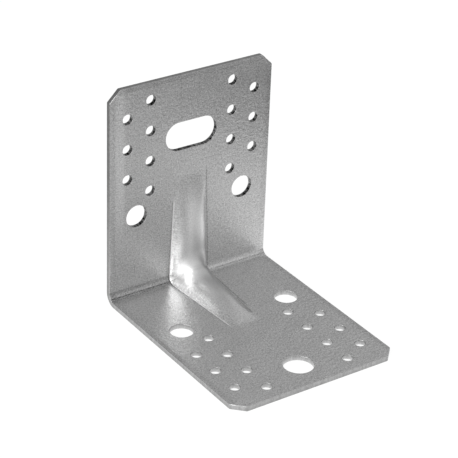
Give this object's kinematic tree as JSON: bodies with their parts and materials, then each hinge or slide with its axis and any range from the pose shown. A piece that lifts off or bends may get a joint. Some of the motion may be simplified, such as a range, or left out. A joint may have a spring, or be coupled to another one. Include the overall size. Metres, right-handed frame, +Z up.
{
  "type": "reinforced angle bracket",
  "caption": "Folded steel angle bracket with a pressed rib across the bend, nail and bolt holes in both legs and a slot in the upright.",
  "frame": {"origin": "the heel: where the back face of the upright leg, the underside of the base leg and the middle plane meet", "axes": "+Z up the upright leg, -Y along the base leg, X across the width"},
  "size_m": [0.09, 0.111, 0.112],
  "materials": {
    "galvanised_steel": "hot-dip galvanised sheet, matt grey with fine grain, brighter where the rib was pressed"
  },
  "bodies": {
    "root": {"bracket": "galvanised_steel"}
  },
  "joints": []
}
